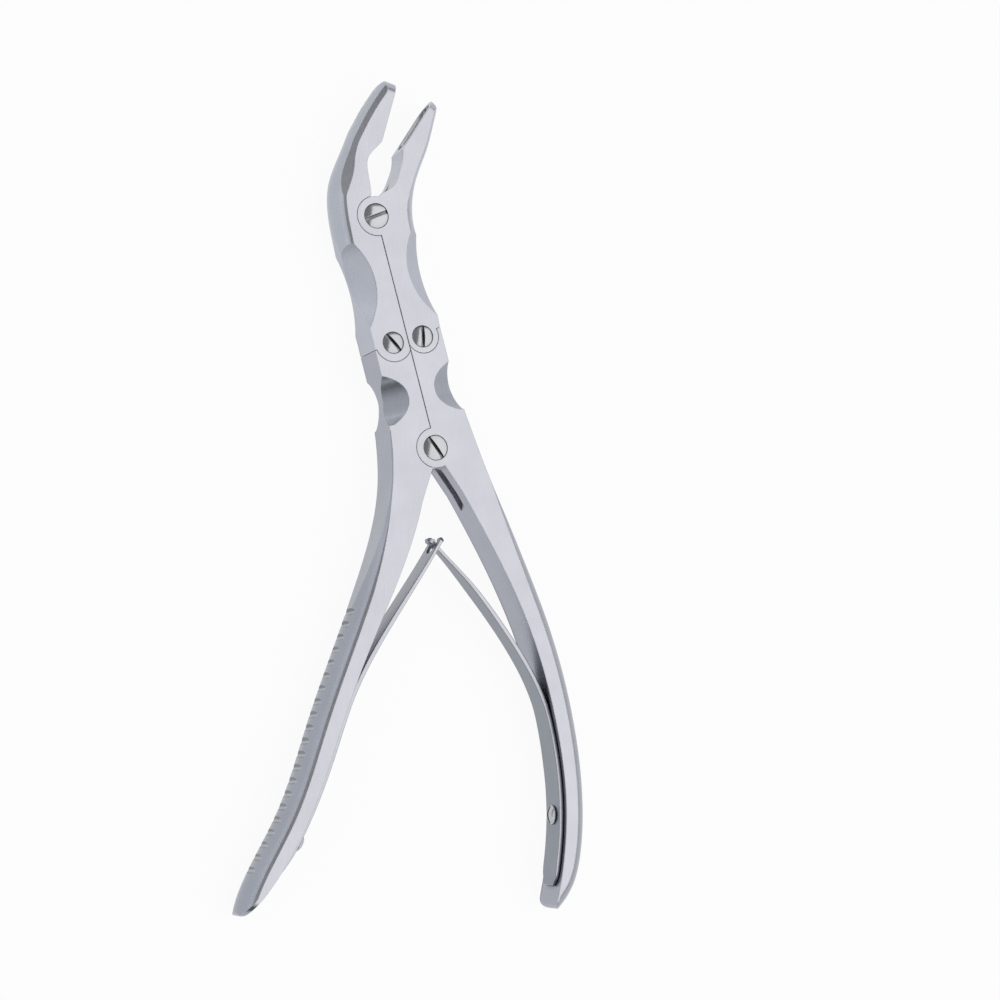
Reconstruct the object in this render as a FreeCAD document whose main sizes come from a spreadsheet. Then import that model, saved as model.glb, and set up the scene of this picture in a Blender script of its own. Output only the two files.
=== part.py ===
import FreeCAD, Part
import math
import os

import Sketcher
from FreeCAD import Matrix, Placement, Rotation, Vector

# A double-action bone rongeur. Four levers are joined by four slotted screws, and two leaf
# springs hold it open. It lies on its back: X to the right, Y towards the jaws, Z out of the
# table. Every piece is drawn about the handle pivot. The levers are drawn about the linkage
# axis, which runs from the handle pivot to the jaw pivot, and each jaw about its bite line.

DIMENSIONS = (
    # Place of the handle pivot in the part's frame, and the lean of the linkage axis
    ("pivot_x", 3.875),
    ("pivot_y", 11.04),
    ("tilt", 15.5),
    # Linkage: pivot to pivot, and the distance between the two link pivots when open
    ("upper_arm", 33.5),
    ("lower_arm", 29.3),
    ("link_spread", 8.4),
    # Depths out of the table
    ("box_depth", 11.6),
    ("grip_depth", 12.4),
    ("jaw_width", 9.0),
    # Jaws: the bite line when closed, its reach from the jaw pivot, and the opening
    ("gape", 16.5),
    ("bite_lean", 38.8),
    ("bite_set", 3.4),
    ("heel_reach", 20.1),
    ("tip_reach", 37.5),
    ("bite_gap", 0.12),
    ("cup_wall", 1.15),
    ("left_jaw_back", 9.0),
    ("right_jaw_back", 6.0),
    # Levers beside the linkage axis
    ("parting", 0.2),
    ("lever_width", 9.6),
    ("shoulder_width", 10.9),
    ("left_seam", 28.1),
    ("right_seam", 30.8),
    ("seam_gap", 0.15),
    # Knuckles, tongues and their running clearance
    ("big_knuckle", 5.2),
    ("left_knuckle", 4.95),
    ("right_knuckle", 4.35),
    ("knuckle_gap", 0.12),
    ("tongue", 3.4),
    ("fork_slot", 3.6),
    ("handle_saw", 12.0),
    ("throat_saw", 8.0),
    # Pivot screws
    ("big_pin", 2.1),
    ("big_head", 3.25),
    ("small_pin", 1.7),
    ("small_head", 2.8),
    ("head_sunk", 1.7),
    ("head_dome", 0.55),
    ("head_gap", 0.08),
    ("pin_gap", 0.05),
    ("thread_gap", 0.02),
    ("screw_slot", 0.9),
    ("slot_depth", 1.1),
    # Reliefs and notches ground into the outer corners of the levers
    ("relief_radius", 23.5),
    ("relief_height", 46.0),
    ("relief_depth", 4.8),
    ("notch_height", 14.7),
    ("notch_front", 3.8),
    ("notch_reach", 12.0),
    ("notch_width", 13.0),
    # Crown of the outer edges: radius, half the width between its two bevels, and their lean
    ("jaw_crown", 6.2),
    ("jaw_bevel", 3.75),
    ("shoulder_crown", 7.4),
    ("shoulder_bevel", 5.45),
    ("grip_crown", 7.9),
    ("grip_bevel", 5.8),
    ("bevel_lean", 27.0),
    # Handles: length below the handle pivot, reach to each side, thickness at top and end
    ("grip_length", 119.4),
    ("left_reach", 50.7),
    ("right_reach", 43.1),
    ("left_thickness", 8.9),
    ("right_thickness", 8.6),
    ("end_thickness", 6.4),
    ("end_round", 4.5),
    # Cross serration of the left grip
    ("serration_start", 8.2),
    ("serration_pitch", 3.5),
    ("serration_count", 21),
    ("serration_radius", 1.1),
    ("serration_depth", 0.7),
    # Leaf springs and their screws
    ("leaf_thickness", 1.2),
    ("leaf_seat", 0.08),
    ("leaf_width", 8.8),
    ("leaf_tongue", 3.2),
    ("leaf_fork_slot", 4.2),
    ("leaf_fork_length", 6.0),
    ("meeting_x", 1.4),
    ("meeting_down", 24.9),
    ("leaf_foot", 13.0),
    ("leaf_screw_up", 22.0),
    ("leaf_screw_pin", 1.5),
    ("leaf_screw_head", 2.5),
    ("leaf_screw_dome", 1.4),
    ("leaf_screw_depth", 4.0),
)

document = FreeCAD.newDocument("rongeur")
sheet = document.addObject("Spreadsheet::Sheet", "dims")
for row, (alias, value) in enumerate(DIMENSIONS, start=1):
    sheet.set("A%d" % row, alias)
    sheet.set("B%d" % row, str(value))
    sheet.setAlias("B%d" % row, alias)
document.recompute()


def size(alias):
    return float(sheet.get(alias))


TILT = size("tilt")
HALF_SPREAD = size("link_spread") / 2
LINK_HEIGHT = math.sqrt(size("lower_arm") ** 2 - HALF_SPREAD ** 2)
JAW_HEIGHT = LINK_HEIGHT + math.sqrt(size("upper_arm") ** 2 - HALF_SPREAD ** 2)
HALF_PARTING = size("parting") / 2
HALF_BOX = size("box_depth") / 2
HALF_GRIP = size("grip_depth") / 2
CUT_REACH = 120.0
LEFT = -1
RIGHT = 1

# Edges of the grips, from the level of the handle pivot to the end. Each pair is a share of the
# handle's sideways reach and of its length.
LEFT_GRIP = ((0.243, 0.0), (0.235, 0.064), (0.286, 0.196), (0.454, 0.386), (0.627, 0.592),
             (0.793, 0.794), (0.968, 0.942), (1.0, 0.983))
RIGHT_GRIP = ((0.281, 0.0), (0.357, 0.064), (0.508, 0.168), (0.777, 0.376), (0.94, 0.585),
              (1.0, 0.771), (0.986, 0.873), (0.928, 0.95), (0.875, 0.98))


# Points and frames


def turned(x, y, degrees):
    angle = math.radians(degrees)
    return x * math.cos(angle) - y * math.sin(angle), x * math.sin(angle) + y * math.cos(angle)


def on_axis(across, along):
    """Place of a point given beside and along the linkage axis."""
    return turned(across, along, TILT)


def jaw_angle(side):
    """Turn of a jaw's bite line from the upright, open by half the gape each way."""
    return TILT - size("bite_lean") - side * size("gape") / 2


def on_jaw(side, across, along):
    """Place of a point given beside and along a jaw's bite direction from the jaw pivot."""
    x, y = turned(across, along, jaw_angle(side))
    pivot_x, pivot_y = on_axis(0, JAW_HEIGHT)
    return pivot_x + x, pivot_y + y


def on_grip(side, share_across, share_down):
    reach = size("left_reach") if side == LEFT else size("right_reach")
    return side * reach * share_across, -size("grip_length") * share_down


def around(centre, radius, degrees):
    angle = math.radians(degrees)
    return centre[0] + radius * math.cos(angle), centre[1] + radius * math.sin(angle)


def flat(point):
    return Vector(point[0], point[1], 0)


# Edges of an outline


def line(start, end):
    return Part.LineSegment(flat(start), flat(end))


def arc(start, middle, end):
    return Part.Arc(flat(start), flat(middle), flat(end))


def curve(*points):
    spline = Part.BSplineCurve()
    spline.interpolate([flat(point) for point in points])
    return spline


def ease(start, end):
    """Two equal arcs that lead smoothly from one level to another."""
    run = end[0] - start[0]
    rise = end[1] - start[1]
    middle = (start[0] + run / 2, start[1] + rise / 2)
    first = (start[0] + run / 4, start[1] + rise / 8)
    last = (end[0] - run / 4, end[1] - rise / 8)
    return arc(start, first, middle), arc(middle, last, end)


def beside(path, distance, along):
    """Point to the left of a path, at a distance along it."""
    place = path.parameterAtDistance(along, path.FirstParameter)
    point = path.value(place)
    tangent = path.tangent(place)[0]
    return point.x - tangent.y * distance, point.y + tangent.x * distance


# Sketches and features


def new_body(name):
    body = document.addObject("PartDesign::Body", name)
    body.Label = name
    body.setExpression("Placement.Base.x", "dims.pivot_x")
    body.setExpression("Placement.Base.y", "dims.pivot_y")
    body.setExpression("Placement.Base.z", "dims.grip_depth / 2")
    return body


def new_sketch(body, name, placement=Placement(), height=None):
    plane = [f for f in body.Origin.OriginFeatures if f.Role == "XY_Plane"][0]
    sketch = body.newObject("Sketcher::SketchObject", name)
    sketch.AttachmentSupport = (plane, [""])
    sketch.MapMode = "FlatFace"
    sketch.AttachmentOffset = placement
    if height:
        sketch.setExpression("AttachmentOffset.Base.z", height)
    return sketch


def draw(sketch, edges):
    sketch.addGeometry(edges, False)
    return sketch


def ring(sketch, centre, radius):
    """A circle whose radius is bound to the sheet."""
    value = float(sheet.evalExpression(radius.replace("dims.", "")))
    index = sketch.addGeometry(Part.Circle(flat(centre), Vector(0, 0, 1), value), False)
    sketch.addConstraint(Sketcher.Constraint("DistanceX", -1, 1, index, 3, centre[0]))
    sketch.addConstraint(Sketcher.Constraint("DistanceY", -1, 1, index, 3, centre[1]))
    number = sketch.addConstraint(Sketcher.Constraint("Radius", index, value))
    sketch.setExpression("Constraints[%d]" % number, radius)
    return sketch


def facing(x_axis, y_axis, origin=(0, 0, 0)):
    """Placement of a sketch whose own x and y run along the two given directions."""
    a = Vector(*x_axis).normalize()
    b = Vector(*y_axis).normalize()
    c = a.cross(b)
    matrix = Matrix(a.x, b.x, c.x, 0, a.y, b.y, c.y, 0, a.z, b.z, c.z, 0, 0, 0, 0, 1)
    return Placement(Vector(*origin), Rotation(matrix))


def side_view(direction, origin=(0, 0)):
    """Placement of a sketch whose x runs along a direction in the table and whose y is depth."""
    return facing((direction[0], direction[1], 0), (0, 0, 1), (origin[0], origin[1], 0))


def pad(body, name, sketch, length):
    feature = body.newObject("PartDesign::Pad", name)
    feature.Profile = sketch
    feature.SideType = "Symmetric"
    feature.setExpression("Length", length)
    return feature


def pocket(body, name, sketch, length=None):
    """A cut evenly to both sides of its sketch, right through unless a length is given."""
    feature = body.newObject("PartDesign::Pocket", name)
    feature.Profile = sketch
    feature.SideType = "Symmetric"
    feature.Length = 2 * CUT_REACH
    if length:
        feature.setExpression("Length", length)
    return feature


def pocket_one_way(body, name, sketch, forward, length=None):
    """A cut from its sketch along the sketch's normal, or the other way."""
    feature = body.newObject("PartDesign::Pocket", name)
    feature.Profile = sketch
    feature.Length = CUT_REACH
    feature.Reversed = forward
    if length:
        feature.setExpression("Length", length)
    return feature


def cut_cheeks(body, name, centre, radius):
    """Clears the front and the back layer round a tongue, for the fork's two cheeks."""
    front = ring(new_sketch(body, name + "_front_ring", height="dims.tongue / 2"), centre, radius)
    pocket_one_way(body, name + "_front", front, True)
    back = ring(new_sketch(body, name + "_back_ring", height="-dims.tongue / 2"), centre, radius)
    pocket_one_way(body, name + "_back", back, False)


def cut_slot(body, name, centre, radius):
    """Clears the middle layer of a fork for the tongue."""
    pocket(body, name, ring(new_sketch(body, name + "_ring"), centre, radius), "dims.fork_slot")


def add_tongue(body, name, centre, radius):
    pad(body, name, ring(new_sketch(body, name + "_ring"), centre, radius), "dims.tongue")


def bore(body, name, centre, radius):
    pocket(body, name, ring(new_sketch(body, name + "_ring"), centre, radius))


def bore_for_screw(body, name, centre, kind):
    """A fork's hole, with the recess that sinks the screw's head into the front cheek."""
    bore(body, name, centre, "dims.%s_pin + dims.thread_gap" % kind)
    floor = "dims.box_depth / 2 - dims.head_sunk - dims.thread_gap"
    recess = ring(new_sketch(body, name + "_recess_ring", height=floor), centre,
                  "dims.%s_head + dims.head_gap" % kind)
    pocket_one_way(body, name + "_recess", recess, True)


def crown(body, name, path, radius, bevel, half_depth):
    """Rounds an outer edge: a crown with a shallow bevel to each side is swept along the path.

    The path lies on the ridge of the crown, with the outside to its right. Where it leaves the
    edge, the crown fades out.
    """
    spine = draw(new_sketch(body, name + "_path"), [path])
    start = path.value(path.FirstParameter)
    tangent = path.tangent(path.FirstParameter)[0]
    outward = (tangent.y, -tangent.x, 0)
    profile = new_sketch(body, name + "_tool", facing(outward, (0, 0, 1), (start.x, start.y, 0)))
    sink = radius - math.sqrt(radius ** 2 - bevel ** 2)
    reach = half_depth + 1.0
    corner = -sink - (reach - bevel) / math.tan(math.radians(size("bevel_lean")))
    beyond = radius / 2
    draw(profile, [
        arc((-sink, -bevel), (0, 0), (-sink, bevel)),
        line((-sink, bevel), (corner, reach)),
        line((corner, reach), (beyond, reach)),
        line((beyond, reach), (beyond, -reach)),
        line((beyond, -reach), (corner, -reach)),
        line((corner, -reach), (-sink, -bevel)),
    ])
    feature = body.newObject("PartDesign::SubtractivePipe", name)
    feature.Profile = profile
    feature.Spine = (spine, ["Edge1"])
    feature.Mode = "Binormal"
    feature.Binormal = Vector(0, 0, 1)
    return feature


def relief(body, side):
    """Two shallow scoops, front and back, ground at 45 degrees into a lever's outer corner."""
    front_edge = size("lever_width") - size("relief_depth")
    level = (front_edge + HALF_BOX) / math.sqrt(2) + size("relief_radius")
    upright = on_axis(0, 1)
    away = on_axis(side, 0)
    base = on_axis(0, size("relief_height"))
    for name, face in (("front", 1), ("back", -1)):
        across = Vector(away[0], away[1], face).normalize()
        origin = (across.x * level + base[0], across.y * level + base[1], across.z * level)
        place = facing((upright[0], upright[1], 0), tuple(across), origin)
        scoop = ring(new_sketch(body, "relief_" + name + "_ring", place), (0, 0), "dims.relief_radius")
        pocket(body, "relief_" + name, scoop)


def notch(body, side):
    """Two pointed notches, front and back, ground into a handle's outer corner."""
    rise = math.atan2(size("notch_reach") - size("notch_front"), HALF_BOX)
    level = size("notch_reach") * math.cos(rise)
    deep = (size("lever_width") - size("notch_front")) * math.cos(rise)
    half = size("notch_width") / 2
    bulge = (0.7 * half, 0.4 * deep)
    above = 3.0
    upright = on_axis(0, 1)
    away = on_axis(side, 0)
    base = on_axis(0, size("notch_height"))
    for name, face in (("front", 1), ("back", -1)):
        across = Vector(away[0] * math.cos(rise), away[1] * math.cos(rise), face * math.sin(rise))
        origin = (across.x * level + base[0], across.y * level + base[1], across.z * level)
        place = facing((upright[0], upright[1], 0), tuple(across), origin)
        vee = draw(new_sketch(body, "notch_" + name + "_vee", place), [
            arc((-half, deep), (-bulge[0], bulge[1]), (0, 0)),
            arc((0, 0), bulge, (half, deep)),
            line((half, deep), (half, deep * above)),
            line((half, deep * above), (-half, deep * above)),
            line((-half, deep * above), (-half, deep)),
        ])
        pocket(body, "notch_" + name, vee)


# Jaw levers


def link_foot(radius):
    """Height where a link knuckle meets the parting line."""
    return LINK_HEIGHT - math.sqrt(radius ** 2 - (HALF_SPREAD - HALF_PARTING) ** 2)


def seam_end(seam, radius):
    """Distance from the axis at which a seam meets a link knuckle."""
    return HALF_SPREAD + math.sqrt(radius ** 2 - (seam - LINK_HEIGHT) ** 2)


def shape_jaw(body, side):
    """Cuts a jaw to its round-ended plan and hollows it with a ball-nosed cutter."""
    half = size("jaw_width") / 2
    tip = size("tip_reach")
    heel = size("heel_reach")
    angle = jaw_angle(side)
    outside = HALF_BOX + 2.0
    blend_end = heel - 1.0
    blend_start = heel - 15.0
    plan = draw(new_sketch(body, "jaw_plan", side_view(turned(0, 1, angle), on_axis(0, JAW_HEIGHT))), [
        *ease((blend_start, HALF_BOX), (blend_end, half)),
        line((blend_end, half), (tip - half, half)),
        arc((tip - half, half), (tip, 0), (tip - half, -half)),
        line((tip - half, -half), (blend_end, -half)),
        *ease((blend_start, -HALF_BOX), (blend_end, -half)),
        line((blend_start, -HALF_BOX), (blend_start, -outside)),
        line((blend_start, -outside), (tip + half, -outside)),
        line((tip + half, -outside), (tip + half, outside)),
        line((tip + half, outside), (blend_start, outside)),
        line((blend_start, outside), (blend_start, HALF_BOX)),
    ])
    pocket(body, "jaw_sides", plan)
    radius = half - size("cup_wall")
    rim = on_jaw(side, -size("bite_set"), 0)
    low = heel + size("cup_wall") + radius
    high = tip - half
    bend = radius * math.sqrt(0.5)
    place = Placement(Vector(rim[0], rim[1], 0), Rotation(Vector(0, 0, 1), angle))
    cup = draw(new_sketch(body, "cup_section", place), [
        line((0, low - radius), (0, high + radius)),
        arc((0, high + radius), (bend, high + bend), (radius, high)),
        line((radius, high), (radius, low)),
        arc((radius, low), (bend, low - bend), (0, low - radius)),
    ])
    groove = body.newObject("PartDesign::Groove", "cup")
    groove.Profile = cup
    groove.ReferenceAxis = (cup, ["V_Axis"])
    groove.Angle = 360


def left_jaw_lever():
    """Tongue at the jaw pivot, fork at the left link."""
    body = new_body("left_jaw_lever")
    link = on_axis(-HALF_SPREAD, LINK_HEIGHT)
    jaw = on_axis(0, JAW_HEIGHT)
    rim = -size("bite_set") - size("bite_gap") / 2
    back = rim - size("left_jaw_back")
    heel = size("heel_reach")
    tip = size("tip_reach")
    seam = size("left_seam")
    knuckle = size("left_knuckle")
    width = size("lever_width")
    shoulder = size("shoulder_width")
    foot = on_axis(-HALF_PARTING, link_foot(knuckle))
    throat = on_axis(-HALF_PARTING, JAW_HEIGHT + size("big_knuckle"))
    seam_in = on_axis(-seam_end(seam, knuckle), seam)
    seam_out = on_axis(-width, seam)
    end = on_jaw(LEFT, back + 4.3, tip - 3.2)
    ridge = (end, on_jaw(LEFT, back + 1.7, tip - 11), on_jaw(LEFT, back + 0.2, heel - 5),
             on_jaw(LEFT, back - 0.5, heel - 14), on_axis(-shoulder, JAW_HEIGHT - 2))
    outline = draw(new_sketch(body, "outline"), [
        line(foot, throat),
        curve(throat, on_jaw(LEFT, rim - 2.2, heel - 8.1), on_jaw(LEFT, rim - 2.5, heel - 5.9),
              on_jaw(LEFT, rim - 1.55, heel - 3), on_jaw(LEFT, rim, heel)),
        line(on_jaw(LEFT, rim, heel), on_jaw(LEFT, rim, tip)),
        arc(on_jaw(LEFT, rim, tip), on_jaw(LEFT, back + 6.3, tip - 0.4), end),
        curve(*ridge, on_axis(-width - 0.9, JAW_HEIGHT - 13), on_axis(-width, LINK_HEIGHT + 6), seam_out),
        line(seam_out, seam_in),
        arc(seam_in, around(link, knuckle, TILT - 90), foot),
    ])
    pad(body, "forging", outline, "dims.box_depth")
    past_tip = on_jaw(LEFT, back + 6.6, tip + 3)
    path = curve(past_tip, *ridge, on_axis(-shoulder - 0.5, JAW_HEIGHT - 11),
                 on_axis(-shoulder - 3.6, JAW_HEIGHT - 22))
    crown(body, "crown", path, size("shoulder_crown"), size("shoulder_bevel"), HALF_BOX)
    bevel_path = curve(on_jaw(LEFT, back + 6.9, tip + 3), on_jaw(LEFT, back + 1.9, tip - 11),
                       on_jaw(LEFT, back - 0.3, heel - 5), on_jaw(LEFT, back - 1.8, heel - 14),
                       on_axis(-shoulder - 3.3, JAW_HEIGHT - 2))
    crown(body, "jaw_bevel", bevel_path, size("jaw_crown"), size("jaw_bevel"), HALF_BOX)
    shape_jaw(body, LEFT)
    relief(body, LEFT)
    cut_cheeks(body, "jaw_cheeks", jaw, "dims.big_knuckle + dims.knuckle_gap")
    add_tongue(body, "jaw_tongue", jaw, "dims.big_knuckle - dims.knuckle_gap")
    cut_slot(body, "link_slot", link, "dims.left_knuckle + dims.knuckle_gap")
    bore(body, "jaw_bore", jaw, "dims.big_pin + dims.pin_gap")
    bore_for_screw(body, "link_bore", link, "small")
    return body


def right_jaw_lever():
    """Fork at the jaw pivot and at the right link."""
    body = new_body("right_jaw_lever")
    link = on_axis(HALF_SPREAD, LINK_HEIGHT)
    jaw = on_axis(0, JAW_HEIGHT)
    rim = -size("bite_set") + size("bite_gap") / 2
    back = rim + size("right_jaw_back")
    heel = size("heel_reach")
    tip = size("tip_reach")
    seam = size("right_seam")
    knuckle = size("big_knuckle")
    width = size("lever_width")
    shoulder = size("shoulder_width")
    small = size("right_knuckle")
    foot = on_axis(HALF_PARTING, link_foot(small))
    head = on_axis(HALF_PARTING, JAW_HEIGHT - math.sqrt(knuckle ** 2 - HALF_PARTING ** 2))
    crotch = around(jaw, knuckle, TILT + 70)
    seam_in = on_axis(seam_end(seam - 0.6, small), seam - 0.6)
    seam_out = on_axis(width, seam)
    end = on_jaw(RIGHT, back - 2.3, tip - 4.6)
    ridge = (on_axis(shoulder + 0.6, JAW_HEIGHT - 2), on_jaw(RIGHT, back + 3.4, heel - 7.6),
             on_jaw(RIGHT, back + 1.8, heel - 3.1), on_jaw(RIGHT, back + 0.1, heel + 5), end)
    outline = draw(new_sketch(body, "outline"), [
        arc(foot, around(link, small, TILT - 60), seam_in),
        line(seam_in, seam_out),
        curve(seam_out, on_axis(width + 0.3, LINK_HEIGHT + 9), on_axis(width + 0.6, LINK_HEIGHT + 20),
              *ridge),
        arc(end, on_jaw(RIGHT, back - 4.4, tip - 1.5), on_jaw(RIGHT, rim, tip)),
        line(on_jaw(RIGHT, rim, tip), on_jaw(RIGHT, rim, heel)),
        curve(on_jaw(RIGHT, rim, heel), on_jaw(RIGHT, rim + 1.6, heel - 2.9),
              on_jaw(RIGHT, rim + 2.5, heel - 6.2), on_jaw(RIGHT, rim + 3, heel - 9.8),
              on_jaw(RIGHT, rim + 1.8, heel - 13.3), crotch),
        arc(crotch, around(jaw, knuckle, TILT + 180), head),
        line(head, foot),
    ])
    pad(body, "forging", outline, "dims.box_depth")
    path = curve(on_axis(shoulder + 3.4, JAW_HEIGHT - 22), on_axis(shoulder + 0.9, JAW_HEIGHT - 11),
                 *ridge, on_jaw(RIGHT, back - 4.6, tip + 3))
    crown(body, "crown", path, size("shoulder_crown"), size("shoulder_bevel"), HALF_BOX)
    shape_jaw(body, RIGHT)
    relief(body, RIGHT)
    cut_slot(body, "jaw_slot", jaw, "dims.big_knuckle + dims.knuckle_gap")
    cut_slot(body, "throat_slot", on_axis(1.8, JAW_HEIGHT + knuckle + size("throat_saw") - 0.4),
             "dims.throat_saw")
    cut_slot(body, "link_slot", link, "dims.right_knuckle + dims.knuckle_gap")
    bore_for_screw(body, "jaw_bore", jaw, "big")
    bore_for_screw(body, "link_bore", link, "small")
    return body


# Handles


def grip_outer(side):
    """Outer edge of a grip, from the level of the handle pivot down to its end."""
    shares = LEFT_GRIP if side == LEFT else RIGHT_GRIP
    return curve(*[on_grip(side, across, down) for across, down in shares])


def grip_inner(side, end):
    """Inner edge of a grip: the outer edge moved in by a thickness that tapers to the end."""
    outer = grip_outer(side)
    start = size("left_thickness") if side == LEFT else size("right_thickness")
    first = size("big_knuckle") + (8.0 if side == LEFT else 3.0)
    last = outer.length() - 3 * size("end_round")
    steps = 7
    points = []
    for step in range(steps + 1):
        share = step / steps
        thickness = start + (size("end_thickness") - start) * math.sqrt(share)
        points.append(beside(outer, -side * thickness, first + (last - first) * share))
    return curve(*points, end)


def shape_depth(body):
    """Thins the handle's head to the depth of the box and rounds the end of the grip."""
    length = size("grip_length")
    round_end = size("end_round")
    bend = round_end * (1 - math.sqrt(0.5))
    outside = HALF_GRIP + 2.0
    above = LINK_HEIGHT + 20.0
    head_end = -0.12 * length
    grip_start = -0.32 * length
    sides = new_sketch(body, "depth_profile", side_view((0, 1)))
    for face in (1, -1):
        draw(sides, [
            line((above, face * HALF_BOX), (head_end, face * HALF_BOX)),
            line((head_end, face * HALF_BOX), (grip_start, face * HALF_GRIP)),
            line((grip_start, face * HALF_GRIP), (grip_start, face * outside)),
            line((grip_start, face * outside), (above, face * outside)),
            line((above, face * outside), (above, face * HALF_BOX)),
        ])
        draw(sides, [
            arc((-length + round_end, face * HALF_GRIP), (-length + bend, face * (HALF_GRIP - bend)),
                (-length, face * (HALF_GRIP - round_end))),
            line((-length, face * (HALF_GRIP - round_end)), (-length - 2, face * (HALF_GRIP - round_end))),
            line((-length - 2, face * (HALF_GRIP - round_end)), (-length - 2, face * outside)),
            line((-length - 2, face * outside), (-length + round_end, face * outside)),
            line((-length + round_end, face * outside), (-length + round_end, face * HALF_GRIP)),
        ])
    pocket(body, "depth", sides)


def leaf_screw_frame(side):
    """Point on a grip's inner face where the leaf's screw stands, and the direction outwards."""
    inner = INNER_EDGES[side]
    along = inner.length() - size("leaf_screw_up")
    place = inner.parameterAtDistance(along, inner.FirstParameter)
    point = inner.value(place)
    tangent = inner.tangent(place)[0]
    return point, tangent, Vector(-side * tangent.y, side * tangent.x, 0)


def bore_for_leaf_screw(body, side, radius, length):
    """A hole across a grip's inner face or a leaf, from the leaf's side into the grip."""
    point, tangent, outward = leaf_screw_frame(side)
    start = point - outward * (size("leaf_seat") + 2 * size("leaf_thickness"))
    place = facing(tuple(tangent), (0, 0, 1), tuple(start))
    sketch = ring(new_sketch(body, "leaf_bore_ring", place), (0, 0), radius)
    normal = place.Rotation.multVec(Vector(0, 0, 1))
    pocket_one_way(body, "leaf_bore", sketch, normal.dot(outward) > 0, length)


def serrate(body):
    """Cross grooves over the crown of the left grip, spaced along its outer edge."""
    outer = grip_outer(LEFT)
    rise = size("serration_radius") - size("serration_depth")
    sketch = new_sketch(body, "serration_rings")
    start = outer.length() * 0.32 + size("serration_start") - size("serration_pitch")
    for number in range(int(size("serration_count"))):
        along = start + number * size("serration_pitch")
        ring(sketch, beside(outer, LEFT * rise, along), "dims.serration_radius")
    pocket(body, "serration", sketch)


def left_handle():
    """Tongue at the left link and at the handle pivot, with a serrated grip."""
    body = new_body("left_handle")
    link = on_axis(-HALF_SPREAD, LINK_HEIGHT)
    knuckle = size("left_knuckle") + size("knuckle_gap")
    width = size("lever_width")
    seam = size("left_seam") - size("seam_gap")
    outer = grip_outer(LEFT)
    inner = INNER_EDGES[LEFT]
    foot = on_axis(-HALF_PARTING, link_foot(knuckle))
    centre = on_axis(-HALF_PARTING, size("big_knuckle"))
    crotch = around((0, 0), size("big_knuckle"), -98)
    seam_in = on_axis(-seam_end(seam, knuckle), seam)
    seam_out = on_axis(-width, seam)
    hip = on_axis(-width, size("notch_height"))
    start = inner.value(inner.FirstParameter)
    end = inner.value(inner.LastParameter)
    tip = outer.value(outer.LastParameter)
    turn = on_grip(LEFT, 0.995, 0.997)
    outline = draw(new_sketch(body, "outline"), [
        line(seam_out, hip),
        curve(hip, *[on_grip(LEFT, across, down) for across, down in LEFT_GRIP]),
        arc((tip.x, tip.y), turn, (end.x, end.y)),
        inner,
        line((start.x, start.y), crotch),
        line(crotch, centre),
        line(centre, foot),
        line(foot, link),
        line(link, seam_in),
        line(seam_in, seam_out),
    ])
    pad(body, "forging", outline, "dims.grip_depth")
    shape_depth(body)
    path = curve(on_axis(-width - 3.9, size("notch_height") / 2), beside(outer, LEFT * 2.1, 14),
                 beside(outer, LEFT * 1.2, 29),
                 *[on_grip(LEFT, across, down) for across, down in LEFT_GRIP[3:]],
                 on_grip(LEFT, 1.0, 1.05))
    crown(body, "crown", path, size("grip_crown"), size("grip_bevel"), HALF_GRIP)
    notch(body, LEFT)
    serrate(body)
    cut_cheeks(body, "link_cheeks", link, "dims.left_knuckle + dims.knuckle_gap")
    add_tongue(body, "link_tongue", link, "dims.link_spread / 2 - dims.parting / 2")
    cut_cheeks(body, "pivot_cheeks", (0, 0), "dims.big_knuckle + dims.knuckle_gap")
    add_tongue(body, "pivot_tongue", (0, 0), "dims.big_knuckle - dims.knuckle_gap")
    bore(body, "link_bore", link, "dims.small_pin + dims.pin_gap")
    bore(body, "pivot_bore", (0, 0), "dims.big_pin + dims.pin_gap")
    bore_for_leaf_screw(body, LEFT, "dims.leaf_screw_pin + dims.thread_gap",
                        "dims.leaf_screw_depth + 2 * dims.leaf_thickness + dims.leaf_seat")
    return body


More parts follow.
